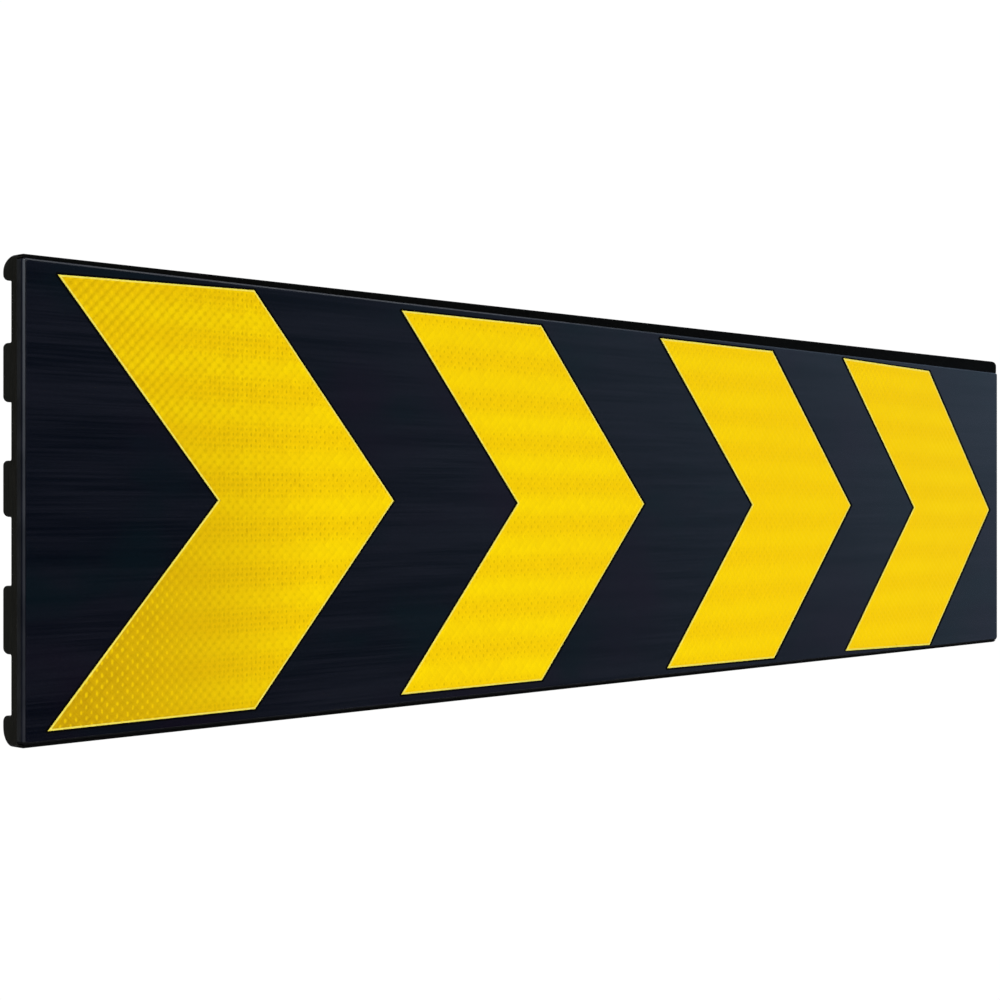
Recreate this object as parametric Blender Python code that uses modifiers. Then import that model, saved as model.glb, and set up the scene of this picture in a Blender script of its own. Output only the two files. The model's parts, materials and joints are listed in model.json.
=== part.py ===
"""Chevron guide board for a wall or posts: a ribbed rubber back, a rigid front
board screwed to it, black face sheeting and four yellow arrow-shaped pieces of
reflective sheeting.

Metres, +Z up. The origin is the centre of the rear face, on the middle rib.
+X runs along the board towards the arrow tips, and the front faces -Y.
"""

import math

import bmesh
import bpy
from mathutils import Vector

MM = 0.001

# ---- overall size ----------------------------------------------------------
LENGTH = 1600 * MM
HEIGHT = 400 * MM
GAP = 0.3 * MM  # clearance between touching pieces

# ---- rubber back -----------------------------------------------------------
# Each rib's upper and lower edge, and its rear corners' rounds as (depth, height).
RIB_UPPER = (6 * MM, 4 * MM)
RIB_LOWER = (8 * MM, 5 * MM)
RIBS = (
    (200 * MM, 179.5 * MM, (19 * MM, 12.5 * MM), (9 * MM, 5.5 * MM)),
    (129 * MM, 80.5 * MM, RIB_UPPER, RIB_LOWER),
    (33 * MM, -13 * MM, RIB_UPPER, RIB_LOWER),
    (-69 * MM, -125 * MM, RIB_UPPER, RIB_LOWER),
    (-175 * MM, -200 * MM, (6 * MM, 5.5 * MM), (14 * MM, 15 * MM)),
)
RIB_DEPTH = 12 * MM
WEB_THICKNESS = 8.2 * MM
# The lip over the board's top edge is taller at the right end.
TOP_LIP_LEFT = 3.0 * MM
TOP_LIP_RIGHT = 15.8 * MM
BOTTOM_LIP = 2.5 * MM
LIP_SETBACK = 1.4 * MM  # the lips' front lies this far behind the board's
ROOT_CORNER = 1.5 * MM
LIP_FRONT_CORNER = 2 * MM
# Corners of the outline seen from the front, as (side, level, width, height).
END_CORNERS = (
    (-1, 1, 2 * MM, 2 * MM),
    (-1, -1, 2 * MM, 2 * MM),
    (1, 1, 12 * MM, 8 * MM),
    (1, -1, 10 * MM, 7 * MM),
)
BACK_END_ROUND = 0.8 * MM  # along the cut ends

# ---- front board -----------------------------------------------------------
BOARD_THICKNESS = 9.9 * MM
BOARD_CORNERS = (2 * MM, 4 * MM, 1 * MM, 2 * MM)  # from the lower left, round
BOARD_CHAMFER = 1.5 * MM  # round the front
BOARD_REAR_EDGE = 0.6 * MM

# ---- sheeting --------------------------------------------------------------
FILM_THICKNESS = 0.5 * MM
FILM_INSET = 2.0 * MM  # from the board's edges, past their chamfer
FILM_CORNERS = (1.5 * MM, 3.5 * MM, 1 * MM, 1.5 * MM)
# Each arrow's corners, in mm from the left end and from half-way up: the lower
# edge's two, the tip, the upper edge's two and the notch in the tail. They are cut
# and stuck on by hand, so no two are quite alike and none is quite level.
CHEVRONS = (
    ((22.1, -187.5), (238.5, -186.7), (410.4, 0.6), (237.6, 189.5), (31.7, 185.4), (197.1, 0.6)),
    ((421.0, -187.4), (624.4, -187.5), (795.0, -2.6), (623.3, 184.5), (421.4, 185.1), (587.6, -1.8)),
    ((837.6, -188.7), (1046.2, -189.7), (1215.2, -4.8), (1042.8, 182.3), (824.6, 184.0), (1001.9, -3.9)),
    ((1205.2, -190.0), (1410.4, -193.9), (1573.5, -11.4), (1409.1, 177.0), (1199.2, 182.5), (1371.3, -7.7)),
)

# ---- screws and washers, in the four grooves -------------------------------
SCREW_COLUMNS = (-750 * MM, -250 * MM, 250 * MM, 750 * MM)
GROOVE_HEIGHTS = (154 * MM, 57 * MM, -41 * MM, -150 * MM)
SCREW_SHANK_R = 2.4 * MM
SCREW_HEAD_R = 5.0 * MM
SCREW_HEAD_H = 3.0 * MM
SCREW_LENGTH = 16 * MM  # under the head
SCREW_POINT = 3 * MM
SOCKET_ACROSS = 3.6 * MM
SOCKET_DEPTH = 1.9 * MM
WASHER_R = 10 * MM
WASHER_HOLE_R = 2.8 * MM
WASHER_T = 1.2 * MM
SCREW_HOLE_R = 2.8 * MM

# ---- threaded inserts, in the second and fourth ribs -----------------------
INSERT_COLUMNS = (("left", -600 * MM), ("right", 600 * MM))
INSERT_ROWS = (("upper", 100 * MM), ("lower", -100 * MM))
INSERT_FLANGE_R = 14 * MM
INSERT_FLANGE_T = 1.8 * MM
INSERT_BARREL_R = 6.5 * MM
INSERT_BORE_R = 3.4 * MM

# ---- planes, from the rear face (y = 0) to the front -----------------------
GROOVE_FLOOR_Y = -RIB_DEPTH
WEB_FRONT_Y = GROOVE_FLOOR_Y - WEB_THICKNESS
BOARD_REAR_Y = WEB_FRONT_Y - GAP
BOARD_FRONT_Y = BOARD_REAR_Y - BOARD_THICKNESS
FILM_REAR_Y = BOARD_FRONT_Y - GAP
FILM_FRONT_Y = FILM_REAR_Y - FILM_THICKNESS
CHEVRON_REAR_Y = FILM_FRONT_Y - GAP
CHEVRON_FRONT_Y = CHEVRON_REAR_Y - FILM_THICKNESS
LIP_FRONT_Y = BOARD_FRONT_Y + LIP_SETBACK
WASHER_FLOOR_Y = GROOVE_FLOOR_Y + GAP
SCREW_SEAT_Y = WASHER_FLOOR_Y + WASHER_T + GAP
SCREW_TIP_Y = SCREW_SEAT_Y - SCREW_LENGTH
INSERT_SHOULDER_Y = WEB_FRONT_Y + INSERT_FLANGE_T

TOP_Z = HEIGHT / 2
BOTTOM_Z = -HEIGHT / 2
BOARD_BOTTOM_Z = BOTTOM_Z + BOTTOM_LIP + GAP

# An outline in XZ extruded along Y, and a section in YZ extruded along X.
FACE_TURN = (math.radians(90), 0, 0)
SECTION_TURN = (math.radians(90), 0, math.radians(90))
# A turned shape whose own +Z points to the rear.
REAR_TURN = (math.radians(-90), 0, 0)

ROUND_STEPS = 5


def clear_scene():
    for obj in list(bpy.data.objects):
        bpy.data.objects.remove(obj, do_unlink=True)
    for group in list(bpy.data.collections):
        bpy.data.collections.remove(group)


def new_collection(name):
    group = bpy.data.collections.new(name)
    bpy.context.scene.collection.children.link(group)
    return group


def new_material(name, colour, roughness, metallic=0.0):
    material = bpy.data.materials.new(name)
    material.use_nodes = True
    shader = material.node_tree.nodes["Principled BSDF"]
    shader.inputs["Base Color"].default_value = (*colour, 1.0)
    shader.inputs["Roughness"].default_value = roughness
    shader.inputs["Metallic"].default_value = metallic
    material.diffuse_color = (*colour, 1.0)
    return material


def rounded_outline(corners, steps=ROUND_STEPS):
    """Points of a closed outline of square corners, each given as (u, v, ru, rv):
    its place and its round's radii along u and v."""
    points = []
    count = len(corners)
    for i, (u, v, ru, rv) in enumerate(corners):
        if ru <= 0 or rv <= 0:
            points.append((u, v))
            continue
        before, after = corners[i - 1], corners[(i + 1) % count]
        enters_along_u = abs(before[1] - v) < 1e-9
        to_before = (
            math.copysign(1, before[0] - u) if enters_along_u else 0,
            0 if enters_along_u else math.copysign(1, before[1] - v),
        )
        to_after = (
            0 if enters_along_u else math.copysign(1, after[0] - u),
            math.copysign(1, after[1] - v) if enters_along_u else 0,
        )
        centre = (
            u + (to_before[0] + to_after[0]) * ru,
            v + (to_before[1] + to_after[1]) * rv,
        )
        for step in range(steps + 1):
            turn = math.pi / 2 * step / steps
            points.append(
                (
                    centre[0]
                    - (to_after[0] * math.cos(turn) + to_before[0] * math.sin(turn))
                    * ru,
                    centre[1]
                    - (to_after[1] * math.cos(turn) + to_before[1] * math.sin(turn))
                    * rv,
                )
            )
    return points


def lip_edge(x):
    """Height of the top lip's lower edge at x."""
    share = (x + LENGTH / 2) / LENGTH
    return TOP_Z - TOP_LIP_LEFT - (TOP_LIP_RIGHT - TOP_LIP_LEFT) * share


def filleted(corners, radii, steps=ROUND_STEPS):
    """Points of a closed convex outline, anticlockwise, with rounded corners."""
    points = []
    count = len(corners)
    for i, radius in enumerate(radii):
        here = Vector(corners[i])
        back = (Vector(corners[i - 1]) - here).normalized()
        ahead = (Vector(corners[(i + 1) % count]) - here).normalized()
        opening = back.angle(ahead)
        start = here + back * (radius / math.tan(opening / 2))
        end = here + ahead * (radius / math.tan(opening / 2))
        centre = here + (back + ahead).normalized() * (radius / math.sin(opening / 2))
        for step in range(steps + 1):
            share = step / steps
            # Equal steps round the arc, from start to end.
            sweep = math.pi - opening
            first, last = (start - centre) / radius, (end - centre) / radius
            away = (
                first * math.sin((1 - share) * sweep) + last * math.sin(share * sweep)
            ) / math.sin(sweep)
            points.append(tuple(centre + away * radius))
    return points


def board_outline(inset, radii):
    """The front board's outline, moved in from its edges."""
    left, right = -LENGTH / 2 + inset, LENGTH / 2 - inset
    low = BOARD_BOTTOM_Z + inset
    return filleted(
        [
            (left, low),
            (right, low),
            (right, lip_edge(right) - GAP - inset),
            (left, lip_edge(left) - GAP - inset),
        ],
        radii,
    )


def extruded(name, outline, thickness, location, turn, group):
    """A flat outline extruded to its thickness about its own plane, as a mesh."""
    curve = bpy.data.curves.new(name, "CURVE")
    curve.dimensions = "2D"
    curve.fill_mode = "BOTH"
    curve.extrude = thickness / 2
    spline = curve.splines.new("POLY")
    spline.points.add(len(outline) - 1)
    for point, (u, v) in zip(spline.points, outline):
        point.co = (u, v, 0, 1)
    spline.use_cyclic_u = True
    guide = bpy.data.objects.new(name + "_outline", curve)
    guide.location = location
    guide.rotation_euler = turn
    group.objects.link(guide)
    bpy.context.view_layer.update()
    graph = bpy.context.evaluated_depsgraph_get()
    mesh = bpy.data.meshes.new_from_object(guide.evaluated_get(graph))
    mesh.name = name
    form = bmesh.new()
    form.from_mesh(mesh)
    bmesh.ops.remove_doubles(form, verts=form.verts, dist=1e-6)
    for height in (-thickness / 2, thickness / 2):
        cap = [
            face
            for face in form.faces
            if all(abs(vert.co.z - height) < 1e-7 for vert in face.verts)
        ]
        bmesh.ops.dissolve_faces(form, faces=cap)
    bmesh.ops.recalc_face_normals(form, faces=form.faces)
    form.to_mesh(mesh)
    form.free()
    obj = bpy.data.objects.new(name, mesh)
    obj.matrix_world = guide.matrix_world.copy()
    bpy.data.objects.remove(guide, do_unlink=True)
    group.objects.link(obj)
    return obj


def turned(name, profile, steps, group):
    """A turned mesh about its own Z, from a profile of (r, z) that runs down the
    outer side. A profile that starts and ends on the axis closes there."""
    mesh = bpy.data.meshes.new(name)
    closed = profile[0][0] > 0
    edges = [(i, i + 1) for i in range(len(profile) - 1)]
    if closed:
        edges.append((len(profile) - 1, 0))
    mesh.from_pydata([(r, 0, z) for r, z in profile], edges, [])
    obj = bpy.data.objects.new(name, mesh)
    group.objects.link(obj)
    screw = obj.modifiers.new("turn", "SCREW")
    screw.axis = "Z"
    screw.steps = steps
    screw.render_steps = steps
    screw.use_merge_vertices = True
    screw.merge_threshold = 1e-6
    screw.use_smooth_shade = False
    return obj


def weigh_rim(obj, weights):
    """Marks the rim of each flat end, given by its height along the extrusion."""
    form = bmesh.new()
    form.from_mesh(obj.data)
    layer = form.edges.layers.float.new("bevel_weight_edge")
    for edge in form.edges:
        ends = [vert.co.z for vert in edge.verts]
        for height, weight in weights.items():
            if all(abs(end - height) < 1e-6 for end in ends) and any(
                abs(face.normal.z) < 0.5 for face in edge.link_faces
            ):
                edge[layer] = weight
    form.to_mesh(obj.data)
    form.free()


def round_rim(obj, width, segments):
    bevel = obj.modifiers.new("rim", "BEVEL")
    bevel.limit_method = "WEIGHT"
    bevel.offset_type = "OFFSET"
    bevel.width = width
    bevel.segments = segments


def cut(obj, cutter, name):
    difference = obj.modifiers.new(name, "BOOLEAN")
    difference.operation = "DIFFERENCE"
    difference.solver = "EXACT"
    difference.object = cutter


def cut_by_group(obj, group, name):
    difference = obj.modifiers.new(name, "BOOLEAN")
    difference.operation = "DIFFERENCE"
    difference.solver = "EXACT"
    difference.operand_type = "COLLECTION"
    difference.collection = group


def cylinder(name, radius, y0, y1, place, sides, group):
    """A cylinder along Y, from y0 to y1, at place (x, z)."""
    x, z = place
    bpy.ops.mesh.primitive_cylinder_add(
        vertices=sides,
        radius=radius,
        depth=abs(y1 - y0),
        location=(x, (y0 + y1) / 2, z),
        rotation=REAR_TURN,
    )
    obj = bpy.context.object
    obj.name = name
    for holder in list(obj.users_collection):
        holder.objects.unlink(obj)
    group.objects.link(obj)
    return obj


def finish_mesh(obj, material):
    """Gives the material, and smooth shading that keeps the corners sharp."""
    obj.data.materials.clear()
    obj.data.materials.append(material)
    obj.data.shade_smooth()
    if obj.data.polygons:
        obj.data.set_sharp_from_angle(angle=math.radians(35))


# ---- set up ----------------------------------------------------------------
clear_scene()
parts = new_collection("chevron_guide_board")
cutters = new_collection("cutters")
back_holes = bpy.data.collections.new("back_holes")
board_holes = bpy.data.collections.new("board_holes")
back_corners = bpy.data.collections.new("back_corners")
for group in (back_holes, board_holes, back_corners):
    cutters.children.link(group)
cutters.hide_render = True

black_rubber = new_material("black_rubber", (0.0075, 0.0073, 0.0066), 0.72)
board_plastic = new_material("board_plastic", (0.013, 0.0135, 0.0155), 0.5)
black_film = new_material("black_film", (0.008, 0.0125, 0.021), 0.3)
yellow_film = new_material("yellow_film", (0.90, 0.58, 0.003), 0.35)
steel = new_material("stainless_steel", (0.56, 0.56, 0.55), 0.35, 1.0)
zinc = new_material("zinc_plate", (0.62, 0.60, 0.52), 0.4, 1.0)


# ---- rubber back: ribbed section along X -----------------------------------
def back_section():
    """The section's corners, as (y, z, ry, rz), from its top front corner over
    the rear ribs to its bottom front corner."""
    corners = [(LIP_FRONT_Y, TOP_Z, LIP_FRONT_CORNER, LIP_FRONT_CORNER)]
    for upper, lower, upper_round, lower_round in RIBS:
        if upper != TOP_Z:
            corners.append((GROOVE_FLOOR_Y, upper, ROOT_CORNER, ROOT_CORNER))
        corners.append((0, upper, *upper_round))
        corners.append((0, lower, *lower_round))
        if lower != BOTTOM_Z:
            corners.append((GROOVE_FLOOR_Y, lower, ROOT_CORNER, ROOT_CORNER))
    corners.append((LIP_FRONT_Y, BOTTOM_Z, LIP_FRONT_CORNER, LIP_FRONT_CORNER))
    return corners


def corner_outline(side, up, width, height):
    """What a square corner has outside its round, seen from the front, with room
    to spare beyond the board."""
    end, edge = side * LENGTH / 2, up * HEIGHT / 2
    centre = (end - side * width, edge - up * height)
    points = []
    for step in range(ROUND_STEPS + 1):
        turn = math.pi / 2 * step / ROUND_STEPS
        points.append(
            (
                centre[0] + side * width * math.sin(turn),
                centre[1] + up * height * math.cos(turn),
            )
        )
    spare = 5 * MM
    points.append((end + side * spare, centre[1]))
    points.append((end + side * spare, edge + up * spare))
    points.append((centre[0], edge + up * spare))
    return points


rubber_back = extruded(
    "rubber_back",
    rounded_outline(back_section()),
    LENGTH,
    (0, 0, 0),
    SECTION_TURN,
    parts,
)
weigh_rim(rubber_back, {LENGTH / 2: 1.0, -LENGTH / 2: 1.0})
round_rim(rubber_back, BACK_END_ROUND, 1)
for side, up, width, height in END_CORNERS:
    end_name, level = {-1: "left", 1: "right"}[side], {1: "top", -1: "bottom"}[up]
    extruded(
        f"corner_{level}_{end_name}",
        corner_outline(side, up, width, height),
        60 * MM,
        (0, -15 * MM, 0),
        FACE_TURN,
        back_corners,
    )
cut_by_group(rubber_back, back_corners, "corners")
# The recess the board lies in, open at the front and at both ends.
past = LENGTH / 2 + 5 * MM
recess = extruded(
    "board_recess",
    [
        (-past, BOTTOM_Z + BOTTOM_LIP),
        (past, BOTTOM_Z + BOTTOM_LIP),
        (past, lip_edge(past)),
        (-past, lip_edge(-past)),
    ],
    20 * MM,
    (0, WEB_FRONT_Y - 10 * MM, 0),
    FACE_TURN,
    cutters,
)
cut(rubber_back, recess, "recess")

for row, z in enumerate(GROOVE_HEIGHTS, 1):
    for column, x in enumerate(SCREW_COLUMNS, 1):
        cylinder(
            f"web_hole_{row}_{column}",
            SCREW_HOLE_R,
            WEB_FRONT_Y - 1 * MM,
            GROOVE_FLOOR_Y + 2 * MM,
            (x, z),
            12,
            back_holes,
        )
        cylinder(
            f"board_hole_{row}_{column}",
            SCREW_HOLE_R,
            SCREW_TIP_Y - 0.6 * MM,
            BOARD_REAR_Y + 1 * MM,
            (x, z),
            12,
            board_holes,
        )
for level, z in INSERT_ROWS:
    for end_name, x in INSERT_COLUMNS:
        # A barrel hole right through the rib, over a pocket for the flange.
        seat = turned(
            f"insert_seat_{level}_{end_name}",
            [
                (0, 2 * MM),
                (INSERT_BARREL_R + GAP, 2 * MM),
                (INSERT_BARREL_R + GAP, INSERT_SHOULDER_Y + GAP),
                (INSERT_FLANGE_R + GAP, INSERT_SHOULDER_Y + GAP),
                (INSERT_FLANGE_R + GAP, WEB_FRONT_Y - 1 * MM),
                (0, WEB_FRONT_Y - 1 * MM),
            ],
            20,
            back_holes,
        )
        seat.location = (x, 0, z)
        seat.rotation_euler = REAR_TURN
cut_by_group(rubber_back, back_holes, "holes")
finish_mesh(rubber_back, black_rubber)

# ---- front board -----------------------------------------------------------
front_board = extruded(
    "front_board",
    board_outline(0, BOARD_CORNERS),
    BOARD_THICKNESS,
    (0, (BOARD_REAR_Y + BOARD_FRONT_Y) / 2, 0),
    FACE_TURN,
    parts,
)
weigh_rim(
    front_board,
    {
        BOARD_THICKNESS / 2: 1.0,
        -BOARD_THICKNESS / 2: BOARD_REAR_EDGE / BOARD_CHAMFER,
    },
)
round_rim(front_board, BOARD_CHAMFER, 1)
cut_by_group(front_board, board_holes, "holes")
finish_mesh(front_board, board_plastic)

# ---- sheeting on the front -------------------------------------------------
black_sheeting = extruded(
    "black_sheeting",
    board_outline(FILM_INSET, FILM_CORNERS),
    FILM_THICKNESS,
    (0, (FILM_REAR_Y + FILM_FRONT_Y) / 2, 0),
    FACE_TURN,
    parts,
)
finish_mesh(black_sheeting, black_film)


for index, corners in enumerate(CHEVRONS, 1):
    chevron = extruded(
        f"chevron_{index}",
        [(u * MM - LENGTH / 2, v * MM) for u, v in corners],
        FILM_THICKNESS,
        (0, (CHEVRON_REAR_Y + CHEVRON_FRONT_Y) / 2, 0),
        FACE_TURN,
        parts,
    )
    finish_mesh(chevron, yellow_film)


# ---- screws and washers ----------------------------------------------------
def screw_profile():
    """A round-edged head over a shank with a blunt point; z = 0 is under the
    head, and +z is towards the rear."""
    edge = 1.4 * MM
    points = [(0, SCREW_HEAD_H)]
    for step in range(4):
        turn = math.pi / 2 * step / 3
        points.append(
            (
                SCREW_HEAD_R - 1.3 * edge * (1 - math.sin(turn)),
                SCREW_HEAD_H - edge * (1 - math.cos(turn)),
            )
        )
    points += [
        (SCREW_HEAD_R, 0),
        (SCREW_SHANK_R, 0),
        (SCREW_SHANK_R, -SCREW_LENGTH + SCREW_POINT),
        (SCREW_SHANK_R * 0.25, -SCREW_LENGTH),
        (0, -SCREW_LENGTH),
    ]
    return points


def washer_profile():
    return [
        (WASHER_HOLE_R, WASHER_T),
        (WASHER_R, WASHER_T),
        (WASHER_R, 0),
        (WASHER_HOLE_R, 0),
    ]


def insert_profile():
    """A flanged barrel with a through bore; z is measured from the rear face."""
    return [
        (INSERT_BORE_R, 0),
        (INSERT_BARREL_R, 0),
        (INSERT_BARREL_R, INSERT_SHOULDER_Y),
        (INSERT_FLANGE_R, INSERT_SHOULDER_Y),
        (INSERT_FLANGE_R, WEB_FRONT_Y),
        (INSERT_BORE_R, WEB_FRONT_Y),
    ]


for row, z in enumerate(GROOVE_HEIGHTS, 1):
    for column, x in enumerate(SCREW_COLUMNS, 1):
        washer = turned(f"washer_{row}_{column}", washer_profile(), 16, parts)
        washer.location = (x, WASHER_FLOOR_Y, z)
        washer.rotation_euler = REAR_TURN
        finish_mesh(washer, steel)

        screw = turned(f"screw_{row}_{column}", screw_profile(), 12, parts)
        screw.location = (x, SCREW_SEAT_Y, z)
        screw.rotation_euler = REAR_TURN
        socket = cylinder(
            f"socket_{row}_{column}",
            SOCKET_ACROSS / math.sqrt(3),
            SCREW_SEAT_Y + SCREW_HEAD_H - SOCKET_DEPTH,
            SCREW_SEAT_Y + SCREW_HEAD_H + 2 * MM,
            (x, z),
            6,
            cutters,
        )
        cut(screw, socket, "socket")
        finish_mesh(screw, steel)

# ---- threaded inserts ------------------------------------------------------
for level, z in INSERT_ROWS:
    for end_name, x in INSERT_COLUMNS:
        insert = turned(f"insert_{level}_{end_name}", insert_profile(), 20, parts)
        insert.location = (x, 0, z)
        insert.rotation_euler = REAR_TURN
        finish_mesh(insert, zinc)

for obj in cutters.all_objects:
    obj.hide_render = True
    obj.display_type = "WIRE"
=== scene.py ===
"""Chevron guide board: looks. Metres, row frame: the rear face is y = 0, the
arrows face -Y, +X runs towards their tips, and z = 0 is half-way up."""

import json
import math
import random

import bmesh
import bpy
from mathutils import Matrix, Vector

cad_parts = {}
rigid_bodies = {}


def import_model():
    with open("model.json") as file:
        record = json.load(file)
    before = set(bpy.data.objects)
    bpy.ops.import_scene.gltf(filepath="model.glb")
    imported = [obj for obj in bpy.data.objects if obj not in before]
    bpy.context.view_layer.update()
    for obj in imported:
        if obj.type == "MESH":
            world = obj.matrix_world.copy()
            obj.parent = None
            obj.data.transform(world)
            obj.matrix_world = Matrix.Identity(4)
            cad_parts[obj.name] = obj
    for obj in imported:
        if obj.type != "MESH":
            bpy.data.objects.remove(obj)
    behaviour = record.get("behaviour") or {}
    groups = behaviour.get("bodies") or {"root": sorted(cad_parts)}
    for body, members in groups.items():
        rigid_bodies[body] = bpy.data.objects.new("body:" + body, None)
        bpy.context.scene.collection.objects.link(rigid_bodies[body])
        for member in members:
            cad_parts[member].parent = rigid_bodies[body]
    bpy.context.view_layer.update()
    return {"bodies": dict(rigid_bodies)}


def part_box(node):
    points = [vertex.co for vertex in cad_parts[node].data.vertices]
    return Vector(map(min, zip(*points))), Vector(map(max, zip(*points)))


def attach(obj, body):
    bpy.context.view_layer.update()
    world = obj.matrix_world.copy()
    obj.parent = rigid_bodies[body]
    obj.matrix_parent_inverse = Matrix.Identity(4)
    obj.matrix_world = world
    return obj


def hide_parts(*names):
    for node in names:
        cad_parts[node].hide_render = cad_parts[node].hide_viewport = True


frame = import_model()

MM = 0.001
BODY = next(iter(frame["bodies"]))
SCENE = bpy.context.scene


# ---------------------------------------------------------------------------
# Camera, lights and stage
# ---------------------------------------------------------------------------
def make_camera():
    data = bpy.data.cameras.new("camera")
    data.sensor_width = 36
    data.lens = 67.5126
    data.shift_y = 0.002804
    data.clip_start, data.clip_end = 0.05, 60
    cam = bpy.data.objects.new("camera", data)
    SCENE.collection.objects.link(cam)
    turn = 0.817294
    ahead = Vector((math.sin(turn), math.cos(turn), 0))
    cam.location = (-1.640167, -1.345648, -0.00144)
    cam.rotation_mode = "QUATERNION"
    cam.rotation_quaternion = ahead.to_track_quat("-Z", "Y")
    SCENE.camera = cam
    return cam


def area_light(name, place, target, size, power, colour=(1, 1, 1), spread=180):
    data = bpy.data.lights.new(name, "AREA")
    data.shape = "RECTANGLE"
    data.size, data.size_y = size
    data.energy = power
    data.color = colour
    data.spread = math.radians(spread)
    lamp = bpy.data.objects.new(name, data)
    lamp.location = place
    lamp.rotation_mode = "QUATERNION"
    lamp.rotation_quaternion = (
        (Vector(target) - Vector(place)).normalized().to_track_quat("-Z", "Y")
    )
    SCENE.collection.objects.link(lamp)
    return lamp


# The studio's brightness in front of the board, how it grows to the right, first
# slowly and then faster, and how it grows upwards.
ROOM_FRONT, ROOM_SIDE, ROOM_FAR, ROOM_RISE = 0.080, 0.28, 2.40, 3.0


def make_world():
    """A white backdrop, and a much dimmer studio round the board: brighter above
    and to its right than below and to its left."""
    world = bpy.data.worlds.new("studio")
    SCENE.world = world
    world.use_nodes = True
    tree = world.node_tree
    tree.nodes.clear()
    out = tree.nodes.new("ShaderNodeOutputWorld")
    mix = tree.nodes.new("ShaderNodeMixShader")
    path = tree.nodes.new("ShaderNodeLightPath")
    backdrop = tree.nodes.new("ShaderNodeBackground")
    room = tree.nodes.new("ShaderNodeBackground")
    backdrop.inputs["Color"].default_value = (1, 1, 1, 1)
    backdrop.inputs["Strength"].default_value = 1.02
    where = tree.nodes.new("ShaderNodeTexCoord")
    split = tree.nodes.new("ShaderNodeSeparateXYZ")
    tree.links.new(where.outputs["Generated"], split.inputs[0])

    def maths(operation, first, second, third=0.0):
        node = tree.nodes.new("ShaderNodeMath")
        node.operation = operation
        for socket, value in zip(node.inputs, (first, second, third)):
            if isinstance(value, bpy.types.NodeSocket):
                tree.links.new(value, socket)
            else:
                socket.default_value = value
        return node.outputs[0]

    side = maths("SUBTRACT", split.outputs["X"], 0.534)
    right = maths("MAXIMUM", side, 0.0)
    level = maths("MULTIPLY_ADD", side, ROOM_SIDE, ROOM_FRONT)
    level = maths("MULTIPLY_ADD", maths("MULTIPLY", right, right), ROOM_FAR, level)
    level = maths("MAXIMUM", level, 0.03)
    rise = maths("MULTIPLY_ADD", split.outputs["Z"], ROOM_RISE, 1.0)
    level = maths("MULTIPLY", level, maths("MAXIMUM", rise, 0.35))
    room.inputs["Color"].default_value = (0.51, 0.705, 0.96, 1)
    tree.links.new(level, room.inputs["Strength"])
    tree.links.new(path.outputs["Is Camera Ray"], mix.inputs[0])
    tree.links.new(room.outputs[0], mix.inputs[1])
    tree.links.new(backdrop.outputs[0], mix.inputs[2])
    tree.links.new(mix.outputs[0], out.inputs["Surface"])


def make_stage():
    mesh = bpy.data.meshes.new("floor")
    form = bmesh.new()
    bmesh.ops.create_circle(form, cap_ends=True, segments=96, radius=3.2)
    form.to_mesh(mesh)
    form.free()
    floor = bpy.data.objects.new("floor", mesh)
    floor.location = (0, 0, -1.45)
    SCENE.collection.objects.link(floor)
    skin = bpy.data.materials.new("floor")
    skin.use_nodes = True
    shader = skin.node_tree.nodes["Principled BSDF"]
    shader.inputs["Base Color"].default_value = (0.86, 0.86, 0.85, 1)
    shader.inputs["Roughness"].default_value = 0.9
    shader.inputs["Specular IOR Level"].default_value = 0.1
    mesh.materials.append(skin)


make_camera()
make_world()
make_stage()
SCENE.view_settings.view_transform = "Standard"
SCENE.view_settings.look = "None"



def sun_light(name, towards, strength, angle, colour=(1, 1, 1)):
    data = bpy.data.lights.new(name, "SUN")
    data.energy = strength
    data.angle = math.radians(angle)
    data.color = colour
    lamp = bpy.data.objects.new(name, data)
    lamp.rotation_mode = "QUATERNION"
    lamp.rotation_quaternion = (-Vector(towards)).to_track_quat("-Z", "Y")
    SCENE.collection.objects.link(lamp)
    return lamp


sun_light("key", (-0.45, -0.72, 0.52), 3.25, 24, (1.0, 0.99, 0.97))
area_light("left", (-2.66, -1.20, 0.80), (-0.8, -0.03, 0.2), (0.9, 1.1), 11.5, (0.78, 0.89, 1.0))
area_light("top", (0.9, 0.35, 2.2), (0, 0, 0.2), (3.0, 1.2), 16, (1, 1, 1))
area_light("rear", (0.4, 2.8, 1.4), (0, 0, 0), (2.6, 1.8), 70, (1, 1, 1))


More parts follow.
